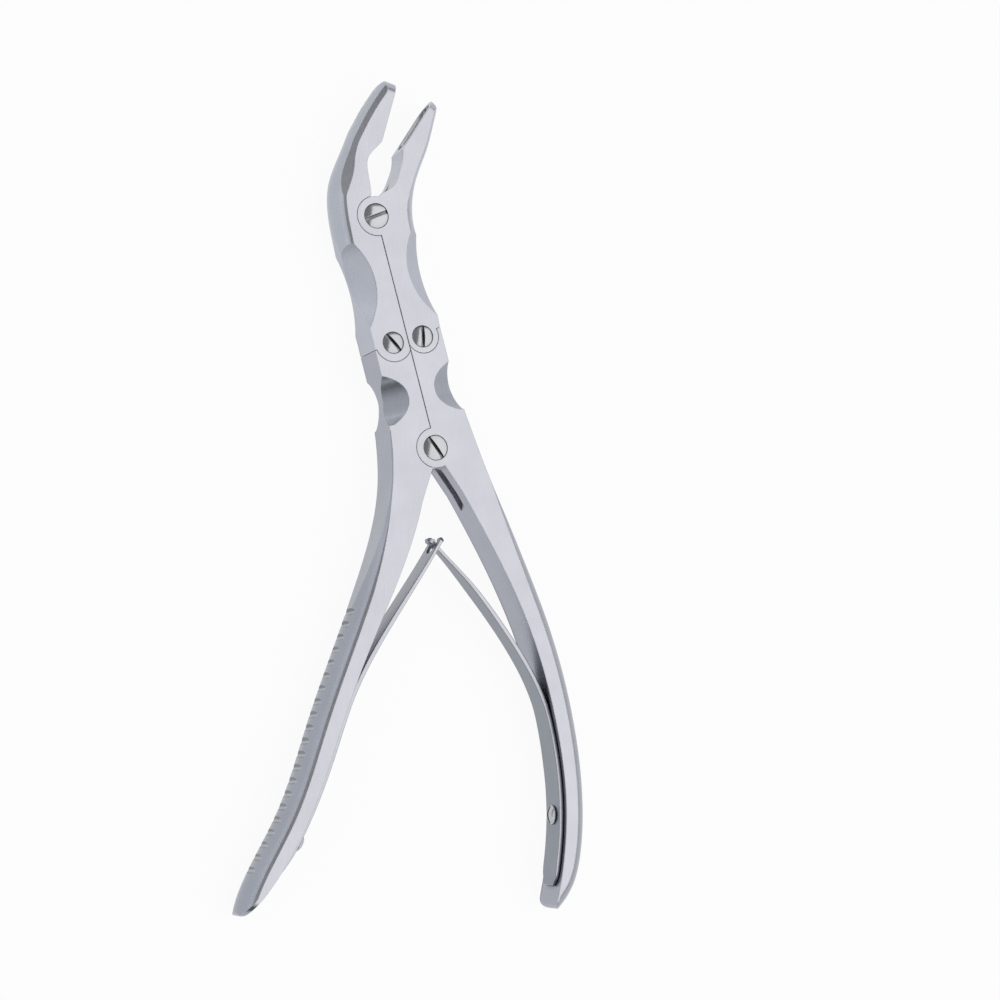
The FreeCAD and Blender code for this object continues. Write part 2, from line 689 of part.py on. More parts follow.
def right_handle():
    """Tongue at the right link, fork at the handle pivot."""
    body = new_body("right_handle")
    link = on_axis(HALF_SPREAD, LINK_HEIGHT)
    knuckle = size("right_knuckle") + size("knuckle_gap")
    big = size("big_knuckle")
    width = size("lever_width")
    seam = size("right_seam") - size("seam_gap")
    outer = grip_outer(RIGHT)
    inner = INNER_EDGES[RIGHT]
    foot = on_axis(HALF_PARTING, link_foot(knuckle))
    crown_top = on_axis(HALF_PARTING, math.sqrt(big ** 2 - HALF_PARTING ** 2))
    seam_in = on_axis(seam_end(seam - 0.6, knuckle), seam - 0.6)
    seam_out = on_axis(width, seam)
    hip = on_axis(width, size("notch_height"))
    start = inner.value(inner.FirstParameter)
    end = inner.value(inner.LastParameter)
    tip = outer.value(outer.LastParameter)
    turn = on_grip(RIGHT, 0.82, 0.995)
    lap = around((0, 0), big, -60)
    outline = draw(new_sketch(body, "outline"), [
        line(seam_in, seam_out),
        line(seam_out, hip),
        curve(hip, *[on_grip(RIGHT, across, down) for across, down in RIGHT_GRIP]),
        arc((tip.x, tip.y), turn, (end.x, end.y)),
        inner,
        line((start.x, start.y), lap),
        arc(lap, around((0, 0), big, 180), crown_top),
        line(crown_top, foot),
        line(foot, link),
        line(link, seam_in),
    ])
    pad(body, "forging", outline, "dims.grip_depth")
    shape_depth(body)
    path = curve(on_grip(RIGHT, 0.76, 1.02),
                 *[on_grip(RIGHT, across, down) for across, down in RIGHT_GRIP[:2:-1]],
                 beside(outer, 1.9, 14), beside(outer, 3.2, 1))
    crown(body, "crown", path, size("grip_crown"), size("grip_bevel"), HALF_GRIP)
    notch(body, RIGHT)
    cut_cheeks(body, "link_cheeks", link, "dims.right_knuckle + dims.knuckle_gap")
    add_tongue(body, "link_tongue", link, "dims.link_spread / 2 - dims.parting / 2")
    cut_slot(body, "pivot_slot", (0, 0), "dims.big_knuckle + dims.knuckle_gap")
    cut_slot(body, "inner_slot", around((0, 0), big + size("handle_saw") - 1.5, -97), "dims.handle_saw")
    bore(body, "link_bore", link, "dims.small_pin + dims.pin_gap")
    bore_for_screw(body, "pivot_bore", (0, 0), "big")
    bore_for_leaf_screw(body, RIGHT, "dims.leaf_screw_pin + dims.thread_gap",
                        "dims.leaf_screw_depth + 2 * dims.leaf_thickness + dims.leaf_seat")
    return body


# Leaf springs


def leaf_path(side):
    """Middle line of a leaf, from its tip between the handles to its foot on the grip."""
    inner = INNER_EDGES[side]
    lift = 0.5 if side == LEFT else 0.42
    seat = size("leaf_seat") + size("leaf_thickness") / 2
    free = ((0.055, 0.271), (0.213, 0.376)) if side == LEFT else ((0.262, 0.294), (0.497, 0.401))
    foot = inner.length() - size("leaf_foot")
    start = inner.length() * (1 - lift)
    steps = 9
    seated = [beside(inner, -side * seat, start + (foot - start) * step / steps)
              for step in range(steps + 1)]
    tip = (size("meeting_x") + LEFT * side * 0.9, -size("meeting_down") + 1.0)
    return curve(tip, *[on_grip(side, across, down) for across, down in free], *seated)


def leaf(name, side):
    """A strip of spring steel along its path, tapered to the tip."""
    body = new_body(name)
    path = leaf_path(side)
    half = size("leaf_thickness") / 2
    steps = 16
    length = path.length()
    places = [length * step / steps for step in range(steps + 1)]
    near = [beside(path, half, along) for along in places]
    away = [beside(path, -half, along) for along in places]
    outline = draw(new_sketch(body, "outline"), [
        curve(*near),
        line(near[-1], away[-1]),
        curve(*away[::-1]),
        line(away[0], near[0]),
    ])
    pad(body, "strip", outline, "dims.leaf_width")
    return body, path


def left_spring_leaf():
    """Its tip is a fork, which the other leaf's tongue passes through."""
    body, path = leaf("left_spring_leaf", LEFT)
    tip = path.value(path.FirstParameter)
    tangent = path.tangent(path.FirstParameter)[0]
    half = size("leaf_fork_slot") / 2
    deep = size("leaf_fork_length")
    sketch = draw(new_sketch(body, "fork", side_view((tangent.x, tangent.y), (tip.x, tip.y))), [
        line((-2, half), (deep - half, half)),
        arc((deep - half, half), (deep, 0), (deep - half, -half)),
        line((deep - half, -half), (-2, -half)),
        line((-2, -half), (-2, half)),
    ])
    feature = pocket(body, "fork_slot", sketch)
    feature.Length = 3 * size("leaf_fork_length")
    bore_for_leaf_screw(body, LEFT, "dims.leaf_screw_pin + dims.pin_gap", "4 * dims.leaf_thickness")
    return body


def right_spring_leaf():
    """It tapers to a tongue."""
    body, path = leaf("right_spring_leaf", RIGHT)
    tip = path.value(path.FirstParameter)
    wide = path.value(path.parameterAtDistance(path.length() * 0.62, path.FirstParameter))
    direction = (wide.x - tip.x, wide.y - tip.y)
    span = math.hypot(*direction)
    narrow = size("leaf_tongue") / 2
    broad = size("leaf_width") / 2
    outside = broad + 2
    sketch = new_sketch(body, "taper", side_view(direction, (tip.x, tip.y)))
    for face in (1, -1):
        draw(sketch, [
            line((-3, face * narrow), (span * 0.2, face * narrow)),
            line((span * 0.2, face * narrow), (span, face * broad)),
            line((span, face * broad), (span, face * outside)),
            line((span, face * outside), (-3, face * outside)),
            line((-3, face * outside), (-3, face * narrow)),
        ])
    pocket(body, "taper_cut", sketch)
    bore_for_leaf_screw(body, RIGHT, "dims.leaf_screw_pin + dims.pin_gap", "4 * dims.leaf_thickness")
    return body


# Screws


def turn_about(body, sketch):
    feature = body.newObject("PartDesign::Revolution", "turning")
    feature.Profile = sketch
    feature.ReferenceAxis = (sketch, ["V_Axis"])
    feature.Angle = 360


def saw_slot(body, place, head, bottom):
    """The screwdriver slot, from its bottom outwards along the sketch's normal."""
    half = size("screw_slot") / 2
    reach = head * 1.5
    place = place.multiply(Placement(Vector(0, 0, bottom), Rotation()))
    sketch = draw(new_sketch(body, "slot_outline", place), [
        line((-reach, -half), (reach, -half)),
        line((reach, -half), (reach, half)),
        line((reach, half), (-reach, half)),
        line((-reach, half), (-reach, -half)),
    ])
    pocket_one_way(body, "screwdriver_slot", sketch, True, "dims.screw_slot * 4")


def pivot_screw(name, centre, kind, slot_angle):
    """A screw whose domed head is sunk in the front cheek and whose end is flush behind."""
    body = new_body(name)
    pin = size(kind + "_pin")
    head = size(kind + "_head")
    seat = HALF_BOX - size("head_sunk")
    rim = HALF_BOX - 0.1
    top = HALF_BOX + size("head_dome")
    back = -HALF_BOX + 0.1
    dome = ((rim + top * 3) / 4, head * math.sqrt(0.27))
    profile = draw(new_sketch(body, "profile", side_view((1, 0), centre)), [
        line((0, back), (pin, back)),
        line((pin, back), (pin, seat)),
        line((pin, seat), (head, seat)),
        line((head, seat), (head, rim)),
        arc((head, rim), (dome[1], dome[0]), (0, top)),
        line((0, top), (0, back)),
    ])
    turn_about(body, profile)
    place = Placement(Vector(centre[0], centre[1], 0), Rotation(Vector(0, 0, 1), slot_angle))
    saw_slot(body, place, head, top - size("slot_depth"))
    return body


def leaf_screw(name, side):
    """A round-headed screw through a leaf into the grip."""
    body = new_body(name)
    point, tangent, outward = leaf_screw_frame(side)
    pin = size("leaf_screw_pin")
    head = size("leaf_screw_head")
    under = size("leaf_thickness") + 2 * size("leaf_seat")
    top = under + size("leaf_screw_dome")
    rim = under + 0.35
    inward = outward * -1
    profile = draw(new_sketch(body, "profile", facing(tuple(tangent), tuple(inward), tuple(point))), [
        line((0, -size("leaf_screw_depth") + 0.3), (pin, -size("leaf_screw_depth") + 0.3)),
        line((pin, -size("leaf_screw_depth") + 0.3), (pin, under)),
        line((pin, under), (head, under)),
        line((head, under), (head, rim)),
        arc((head, rim), (head * 0.6, rim + (top - rim) * 0.72), (0, top)),
        line((0, top), (0, -size("leaf_screw_depth") + 0.3)),
    ])
    turn_about(body, profile)
    place = facing(tuple(tangent), tuple(inward.cross(tangent)), tuple(point))
    saw_slot(body, place, head, top - size("slot_depth") * 0.8)
    return body


INNER_EDGES = {
    LEFT: grip_inner(LEFT, on_grip(LEFT, 0.955, 0.995)),
    RIGHT: grip_inner(RIGHT, on_grip(RIGHT, 0.79, 0.975)),
}

subparts = [
    left_jaw_lever(),
    right_jaw_lever(),
    left_handle(),
    right_handle(),
    pivot_screw("jaw_pivot_screw", on_axis(0, JAW_HEIGHT), "big", 25),
    pivot_screw("left_link_screw", on_axis(-HALF_SPREAD, LINK_HEIGHT), "small", -45),
    pivot_screw("right_link_screw", on_axis(HALF_SPREAD, LINK_HEIGHT), "small", -87),
    pivot_screw("handle_pivot_screw", (0, 0), "big", -52),
    left_spring_leaf(),
    right_spring_leaf(),
    leaf_screw("left_spring_screw", LEFT),
    leaf_screw("right_spring_screw", RIGHT),
]
document.recompute()

for item in document.Objects:
    if "Invalid" in item.State or "Error" in item.State:
        raise RuntimeError("%s is %s" % (item.Name, item.State))
for body in subparts:
    if body.Shape.isNull() or not body.Shape.isValid() or len(body.Shape.Solids) != 1:
        raise RuntimeError("%s is not one valid solid" % body.Label)

os.makedirs("parts", exist_ok=True)
for body in subparts:
    body.Shape.exportStep("parts/%s.step" % body.Label)
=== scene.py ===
"""The dressed bone rongeur: satin and polished stainless steel round the fixed frame.

It lies on its back on a pale table: X to the right, Y towards the jaws, Z up. Blender's metres are
kept for the stage. The rongeur's own sizes are in millimetres and are multiplied by MM.
"""

import math

import bmesh
import bpy
import numpy as np
from mathutils import Matrix, Vector


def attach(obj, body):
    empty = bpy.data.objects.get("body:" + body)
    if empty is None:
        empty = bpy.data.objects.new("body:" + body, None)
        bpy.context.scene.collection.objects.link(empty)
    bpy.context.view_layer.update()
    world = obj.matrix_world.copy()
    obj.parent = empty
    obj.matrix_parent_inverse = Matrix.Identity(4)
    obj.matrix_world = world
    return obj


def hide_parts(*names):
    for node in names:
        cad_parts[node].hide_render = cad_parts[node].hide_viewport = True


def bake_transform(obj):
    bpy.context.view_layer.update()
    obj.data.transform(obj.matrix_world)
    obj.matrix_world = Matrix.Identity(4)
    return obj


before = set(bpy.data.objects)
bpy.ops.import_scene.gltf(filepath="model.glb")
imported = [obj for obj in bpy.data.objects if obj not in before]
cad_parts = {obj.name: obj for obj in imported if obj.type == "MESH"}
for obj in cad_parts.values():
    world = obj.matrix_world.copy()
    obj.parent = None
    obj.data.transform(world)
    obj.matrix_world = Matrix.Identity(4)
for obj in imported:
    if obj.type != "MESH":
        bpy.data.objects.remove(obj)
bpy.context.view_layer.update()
MM = 0.001


# Colour and node helpers


def srgb(hex_code):
    """Turns an sRGB hex colour to linear: each share to the power 2.4 above its straight foot."""
    shares = [int(hex_code[place:place + 2], 16) / 255 for place in (1, 3, 5)]
    linear = [share / 12.92 if share <= 0.04045 else ((share + 0.055) / 1.055) ** 2.4 for share in shares]
    return tuple(linear) + (1.0,)


def add(tree, kind, sockets=None, **settings):
    """Adds one node: settings are its attributes, sockets take values or other nodes' outputs.

    A colour Mix takes its two colours in sockets 6 and 7 and gives the mixed one in output 2.
    """
    made = tree.nodes.new("ShaderNode" + kind)
    for name, value in settings.items():
        setattr(made, name, value)
    for socket, value in (sockets or {}).items():
        if isinstance(value, bpy.types.NodeSocket):
            tree.links.new(value, made.inputs[socket])
        else:
            made.inputs[socket].default_value = value
    return made


def new_material(name):
    """An empty material with its shader and output joined."""
    material = bpy.data.materials.new(name)
    material.use_nodes = True
    tree = material.node_tree
    tree.nodes.clear()
    shader = add(tree, "BsdfPrincipled")
    add(tree, "OutputMaterial", {"Surface": shader.outputs["BSDF"]})
    return material, tree, shader


# Finish of the steel


# A face counts as a ground front where the height of its normal passes these two values. Below them it takes
# the darker colour of the flanks, which is painted shade.
FRONT_FROM = 0.8
FRONT_TO = 0.97
# Hands and washing round the edges by about 0.3 mm. An edge counts as worn where the rounded normal
# leaves the face's own, from the first cosine to the second.
EDGE_ROUNDING = 0.3
EDGE_SAMPLES = 4
WORN_FROM = 0.995
WORN_TO = 0.85
MOST_WORN = 0.7
# Painted shade: a crevice is painted darkest where less than this share of the nearby space is open.
CREVICE_SHUT = 0.3
CREVICE_SAMPLES = 6
# A ground line is much longer than wide, so the noise is drawn out about 17 times along it.
GRAIN_STRETCH = 0.06
GRAIN_STRENGTH = 0.12
GRAIN_DEPTH = 0.02
# The lines vary the roughness from a little below the given value to a little above it.
SMOOTHER = 0.05
ROUGHER = 0.07
# Uneven polishing shows as faint patches, about 9 mm wide.
PATCH_WIDTH = 9.0
PATCH_SHADE = 0.035
# The left grip's cross serration, whose walls get painted shade: the grip's direction, its place, and the
# lean of the walls of its grooves.
GRIP_RUN = (-0.37, -0.93, 0.0)
SERRATED_LEFT_OF = -12.0
SERRATED_MIDDLE = -65.0
SERRATED_REACH = 42.0
WALL_LEAN_FROM = 0.22
WALL_LEAN_TO = 0.42


def serration_mask(tree, coordinates):
    """1 on the walls of the left grip's cross serration, whose normals lean along the grip: where painted
    shade goes.
    """
    lean = add(tree, "VectorMath", {0: coordinates["Normal"], 1: GRIP_RUN}, operation="DOT_PRODUCT")
    lean = add(tree, "Math", {0: lean.outputs["Value"]}, operation="ABSOLUTE").outputs[0]
    wall = add(tree, "MapRange", {"Value": lean, "From Min": WALL_LEAN_FROM, "From Max": WALL_LEAN_TO,
                                  "To Min": 0.0, "To Max": 1.0}, clamp=True).outputs["Result"]
    place = add(tree, "SeparateXYZ", {"Vector": coordinates["Object"]}).outputs
    left = add(tree, "Math", {0: place["X"], 1: SERRATED_LEFT_OF * MM}, operation="LESS_THAN").outputs[0]
    zone = add(tree, "Math", {0: place["Y"], 1: SERRATED_MIDDLE * MM, 2: SERRATED_REACH * MM},
               operation="COMPARE").outputs[0]
    zone = add(tree, "Math", {0: left, 1: zone}, operation="MULTIPLY").outputs[0]
    return add(tree, "Math", {0: wall, 1: zone}, operation="MULTIPLY").outputs[0]


def stainless_steel(name, front, painted_flank_shade, worn, grain_turn, grain_width, roughness, crevice_width,
                    open_at=0.75, darkest=0.1, groove_shade=None):
    """Hardened stainless steel: ground fronts, duller flanks painted darker as painted shade, edges
    brightened by hands, and painted shade that darkens the crevices.

    The belt's lines are about 0.05 mm wide, too fine to show, so they are drawn at grain_width.
    """
    material, tree, shader = new_material(name)
    coordinates = add(tree, "TexCoord").outputs
    place = coordinates["Object"]

    # Fronts and flanks by the normal's height: the flanks' darker colour is painted shade.
    facing = add(tree, "SeparateXYZ", {"Vector": coordinates["Normal"]}).outputs["Z"]
    height = add(tree, "Math", {0: facing}, operation="ABSOLUTE").outputs[0]
    ground = add(tree, "MapRange", {"Value": height, "From Min": FRONT_FROM, "From Max": FRONT_TO,
                                    "To Min": 0.0, "To Max": 1.0}, clamp=True).outputs["Result"]
    flank_shaded_surface = add(tree, "Mix", {0: ground, 6: srgb(painted_flank_shade), 7: srgb(front)}, data_type="RGBA").outputs[2]

    # Worn edges.
    edge_normal = add(tree, "Bevel", {"Radius": EDGE_ROUNDING * MM}, samples=EDGE_SAMPLES).outputs["Normal"]
    face_normal = add(tree, "NewGeometry").outputs["Normal"]
    same = add(tree, "VectorMath", {0: edge_normal, 1: face_normal}, operation="DOT_PRODUCT")
    wear = add(tree, "MapRange", {"Value": same.outputs["Value"], "From Min": WORN_FROM, "From Max": WORN_TO,
                                  "To Min": 0.0, "To Max": MOST_WORN}, clamp=True).outputs["Result"]
    worn_and_shaded = add(tree, "Mix", {0: wear, 6: flank_shaded_surface, 7: srgb(worn)}, data_type="RGBA").outputs[2]

    # Painted shade on the walls of the serration's grooves.
    if groove_shade:
        serration_shade_share = serration_mask(tree, coordinates)
        worn_and_shaded = add(tree, "Mix", {0: serration_shade_share, 6: worn_and_shaded, 7: srgb(groove_shade)}, data_type="RGBA").outputs[2]

    # Painted shade in the crevices, and the faint patches of the polish.
    open_share = add(tree, "AmbientOcclusion", {"Distance": crevice_width * MM}, samples=CREVICE_SAMPLES)
    crevice = add(tree, "MapRange", {"Value": open_share.outputs["AO"], "From Min": CREVICE_SHUT,
                                     "From Max": open_at, "To Min": darkest, "To Max": 1.0},
                  clamp=True).outputs["Result"]
    patch = add(tree, "TexNoise", {"Vector": place, "Scale": 1 / (PATCH_WIDTH * MM), "Detail": 3.0})
    mottled = add(tree, "MapRange", {"Value": patch.outputs["Fac"], "From Min": 0.3, "From Max": 0.7,
                                     "To Min": 1 - PATCH_SHADE, "To Max": 1 + PATCH_SHADE}).outputs["Result"]
    shade = add(tree, "Math", {0: mottled, 1: crevice}, operation="MULTIPLY").outputs[0]
    tint = add(tree, "HueSaturation", {"Color": worn_and_shaded, "Value": shade}).outputs["Color"]

    # Ground lines, in the roughness and as fine furrows.
    along = add(tree, "Mapping", {"Vector": place, "Rotation": (0, 0, math.radians(grain_turn)),
                                  "Scale": (1, GRAIN_STRETCH, 1)}).outputs["Vector"]
    grain = add(tree, "TexNoise", {"Vector": along, "Scale": 1 / (grain_width * MM), "Detail": 2.0,
                                   "Roughness": 0.6}).outputs["Fac"]
    gloss = add(tree, "MapRange", {"Value": grain, "From Min": 0.2, "From Max": 0.8,
                                   "To Min": roughness - SMOOTHER,
                                   "To Max": roughness + ROUGHER}).outputs["Result"]
    furrows = add(tree, "Bump", {"Height": grain, "Strength": GRAIN_STRENGTH, "Distance": GRAIN_DEPTH * MM,
                                 "Normal": edge_normal}).outputs["Normal"]

    tree.links.new(tint, shader.inputs["Base Color"])
    tree.links.new(gloss, shader.inputs["Roughness"])
    tree.links.new(furrows, shader.inputs["Normal"])
    shader.inputs["Metallic"].default_value = 1.0
    return material


materials = {
    # Forged, hardened and belt-ground stainless steel: pale satin fronts with fine lines along the
    # lever, and duller flanks painted darker as painted shade. Painted shade darkens its crevices.
    "jaw_steel": stainless_steel(
        "ground_jaw_steel", front="#CCCDD4", painted_flank_shade="#AFB3BD", worn="#D2D3D9", grain_turn=-20,
        grain_width=0.3, roughness=0.28, crevice_width=1.6, open_at=0.9, darkest=0.25),
    # The same steel on the handles. Its flanks are painted a shade darker still, as painted shade, and
    # painted shade darkens the serration's walls and the crevices.
    "handle_steel": stainless_steel(
        "ground_handle_steel", front="#CCCDD4", painted_flank_shade="#9DA1AB", worn="#D2D3D9", grain_turn=10,
        grain_width=0.3, roughness=0.28, crevice_width=1.4, open_at=0.95, darkest=0.3, groove_shade="#666A71"),
    # Turned and polished stainless steel: glossy domes, slots painted nearly black with painted shade, and
    # flanks painted a little darker as shade.
    "screw_steel": stainless_steel(
        "polished_screw_steel", front="#C6C8CC", painted_flank_shade="#B8BBC0", worn="#D6D7DB", grain_turn=0,
        grain_width=0.2, roughness=0.17, crevice_width=2.4, open_at=0.85),
    # Rolled and tempered spring steel: bright narrow edges, and grey, satin faces painted darker as painted
    # shade, with painted shade in the crevices.
    "spring_steel": stainless_steel(
        "tempered_spring_steel", front="#CACBD2", painted_flank_shade="#868B94", worn="#CDCED3", grain_turn=0,
        grain_width=0.3, roughness=0.3, crevice_width=0.9),
}
NODE_SLOTS = {
    "left_jaw_lever": "jaw_steel",
    "right_jaw_lever": "jaw_steel",
    "left_handle": "handle_steel",
    "right_handle": "handle_steel",
    "jaw_pivot_screw": "screw_steel",
    "left_link_screw": "screw_steel",
    "right_link_screw": "screw_steel",
    "handle_pivot_screw": "screw_steel",
    "left_spring_leaf": "spring_steel",
    "right_spring_leaf": "spring_steel",
    "left_spring_screw": "screw_steel",
    "right_spring_screw": "screw_steel",
}
for node, slot in NODE_SLOTS.items():
    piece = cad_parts[node]
    piece.data.materials.clear()
    piece.data.materials.append(materials[slot])


# Making of the new pieces


# Points closer than this, in metres, are one.
MERGE_WITHIN = 1e-7


def placed_object(name, mesh):
    """Links a new object with the mesh, at the origin and unturned."""
    made = bpy.data.objects.new(name, mesh)
    bpy.context.scene.collection.objects.link(made)
    return made


def closed_piece(name, sheets, slot):
    """Sews grids of points, in mm, whose edges meet, to one closed piece with its faces outwards."""
    vertices, faces = [], []
    first = 0
    for sheet in sheets:
        rows, columns = sheet.shape[:2]
        row, column = np.meshgrid(np.arange(rows - 1), np.arange(columns - 1), indexing="ij")
        corner = first + (row * columns + column).ravel()
        faces.append(np.stack([corner, corner + columns, corner + columns + 1, corner + 1], axis=1))
        vertices.append(sheet.reshape(-1, 3) * MM)
        first += rows * columns
    mesh = bpy.data.meshes.new(name)
    mesh.from_pydata(np.concatenate(vertices).tolist(), [], np.concatenate(faces).tolist())
    shape = bmesh.new()
    shape.from_mesh(mesh)
    bmesh.ops.remove_doubles(shape, verts=shape.verts, dist=MERGE_WITHIN)
    bmesh.ops.dissolve_degenerate(shape, edges=shape.edges, dist=MERGE_WITHIN)
    bmesh.ops.recalc_face_normals(shape, faces=shape.faces)
    shape.to_mesh(mesh)
    shape.free()
    mesh.shade_smooth()
    made = placed_object(name, mesh)
    made.data.materials.append(materials[slot])
    return made


# Leaf springs, one bent strip each


# Height of the leaves' middle above the table, and half the thickness of a strip, as in the solids.
LEAF_MIDDLE = 6.2
LEAF_HALF = 0.6
# The strip is thinner at its tip and at its foot: half its thickness there, where it changes, and
# how far the foot bears on its grip as it thins.
TIP_HALF = 0.44
FOOT_HALF = 0.4
THIN_TIP = (3, 30)
THIN_FOOT = 6
SEATED_FOOT = 12
# The bead across the tip: how far behind the tip it ends, its middle, its spread and its height.
BEAD_LENGTH = 1.6
BEAD_MIDDLE = 0.75
BEAD_SPREAD = 0.55
BEAD_HEIGHT = 0.24
# Seen flat, the ends are rounded and then cut off: the tip's rounding, and what is cut from each.
TIP_ROUND = 2.2
TIP_CUT = 0.6
FOOT_CUT = 0.8
# Radius of the screw's hole.
PIN_RADIUS = 1.6
# Distances from an edge at which its rounding is drawn, columns between the edges, and how far from
# the tip the rows are close together.
EDGE_STEPS = np.array([0, 0.004, 0.02, 0.06, 0.12, 0.2])
COLUMNS = 24
FINE_STRETCH = 12
# Rows closer than the first gap are one, and a point nearer to an edge than the second lies on it.
ROW_GAP = 0.001
EDGE_GAP = 1e-6

# Places on the middle lines of the leaves, in mm, from tip to foot. They follow the solids' leaves.
# The tips run on by 1 mm and the right foot by its last two places.
LEFT_LEAF = [(6.69, -12.0), (2.11, -19.69), (-2.15, -26.4), (-6.44, -33.09), (-10.61, -39.86),
             (-14.47, -46.8), (-17.82, -54.0), (-20.49, -61.49), (-22.95, -69.05), (-25.54, -76.56),
             (-28.45, -83.96), (-31.87, -91.13), (-35.89, -97.98)]
RIGHT_LEAF = [(3.67, -12.15), (9.73, -18.2), (14.88, -23.73), (19.75, -29.51), (24.34, -35.52),
              (28.66, -41.72), (32.53, -48.21), (35.6, -55.11), (37.48, -62.42), (38.75, -69.87),
              (39.56, -77.39), (39.75, -84.94), (39.32, -92.49), (38.57, -98.4), (37.98, -101.8)]
# Half a leaf's width at its tip, and each change to it: how much, from where and to where.
LEFT_WIDTH = (4.4, [(-1.2, 62, 92)])
RIGHT_WIDTH = (1.6, [(1.5, 4, 20), (1.3, 30, 72)])


def smooth(value, start, end):
    """Goes from 0 at start to 1 at end without a corner."""
    share = np.clip((value - start) / (end - start), 0, 1)
    return share * share * (3 - 2 * share)


def half_width_at(distance, at_tip, changes):
    """Half a leaf's width at distances behind its tip: each change comes in without a corner."""
    return at_tip + sum(change * smooth(distance, start, end) for change, start, end in changes)


def along_path(points, distance):
    """Places and left-hand normals at distances along a curve that passes smoothly through points.

    Each stretch is a cubic whose ends have the slopes that the neighbouring points give.
    """
    points = np.array(points, float)
    steps = np.concatenate([[0], np.cumsum(np.linalg.norm(np.diff(points, axis=0), axis=1))])
    slope = np.stack([np.gradient(points[:, k], steps, edge_order=2) for k in (0, 1)], axis=1)
    distance = np.clip(distance, 0, steps[-1])
    first = np.clip(np.searchsorted(steps, distance, side="right") - 1, 0, len(points) - 2)
    gap = (steps[first + 1] - steps[first])[:, None]
    share = ((distance - steps[first])[:, None]) / gap
    start, end = points[first], points[first + 1]
    leaving, arriving = slope[first] * gap, slope[first + 1] * gap
    place = (start * (2 * share ** 3 - 3 * share ** 2 + 1) + leaving * (share ** 3 - 2 * share ** 2 + share)
             + end * (3 * share ** 2 - 2 * share ** 3) + arriving * (share ** 3 - share ** 2))
    run = (start * (6 * share ** 2 - 6 * share) + leaving * (3 * share ** 2 - 4 * share + 1)
           + end * (6 * share - 6 * share ** 2) + arriving * (3 * share ** 2 - 2 * share))
    run /= np.linalg.norm(run, axis=1)[:, None]
    return place, np.stack([-run[:, 1], run[:, 0]], axis=1)


def leaf_rows(length, slot_half, slot_deep, screw_at):
    """Distances of a strip's rows from its tip, close together at its ends, its slot and its hole."""
    tip = np.concatenate([EDGE_STEPS, np.linspace(EDGE_STEPS[-1], BEAD_LENGTH, 9),
                          np.linspace(BEAD_LENGTH, FINE_STRETCH, 40)])
    blade = np.linspace(FINE_STRETCH, length, 130)
    slot_end = slot_deep - slot_half * (1 - np.cos(np.linspace(0, 1.5, 12)))
    hole = screw_at + PIN_RADIUS * np.cos(np.linspace(0, math.pi, 17))
    foot = length - np.concatenate([EDGE_STEPS, np.linspace(EDGE_STEPS[-1], 3, 12)])
    rows = np.concatenate([tip, blade, slot_deep - EDGE_STEPS, slot_deep + EDGE_STEPS, slot_end, hole, foot])
    rows = np.unique(np.round(rows / ROW_GAP)) * ROW_GAP
    between = (rows > ROW_GAP) & (rows < length - ROW_GAP)
    return np.concatenate([[0], rows[between], [length]])


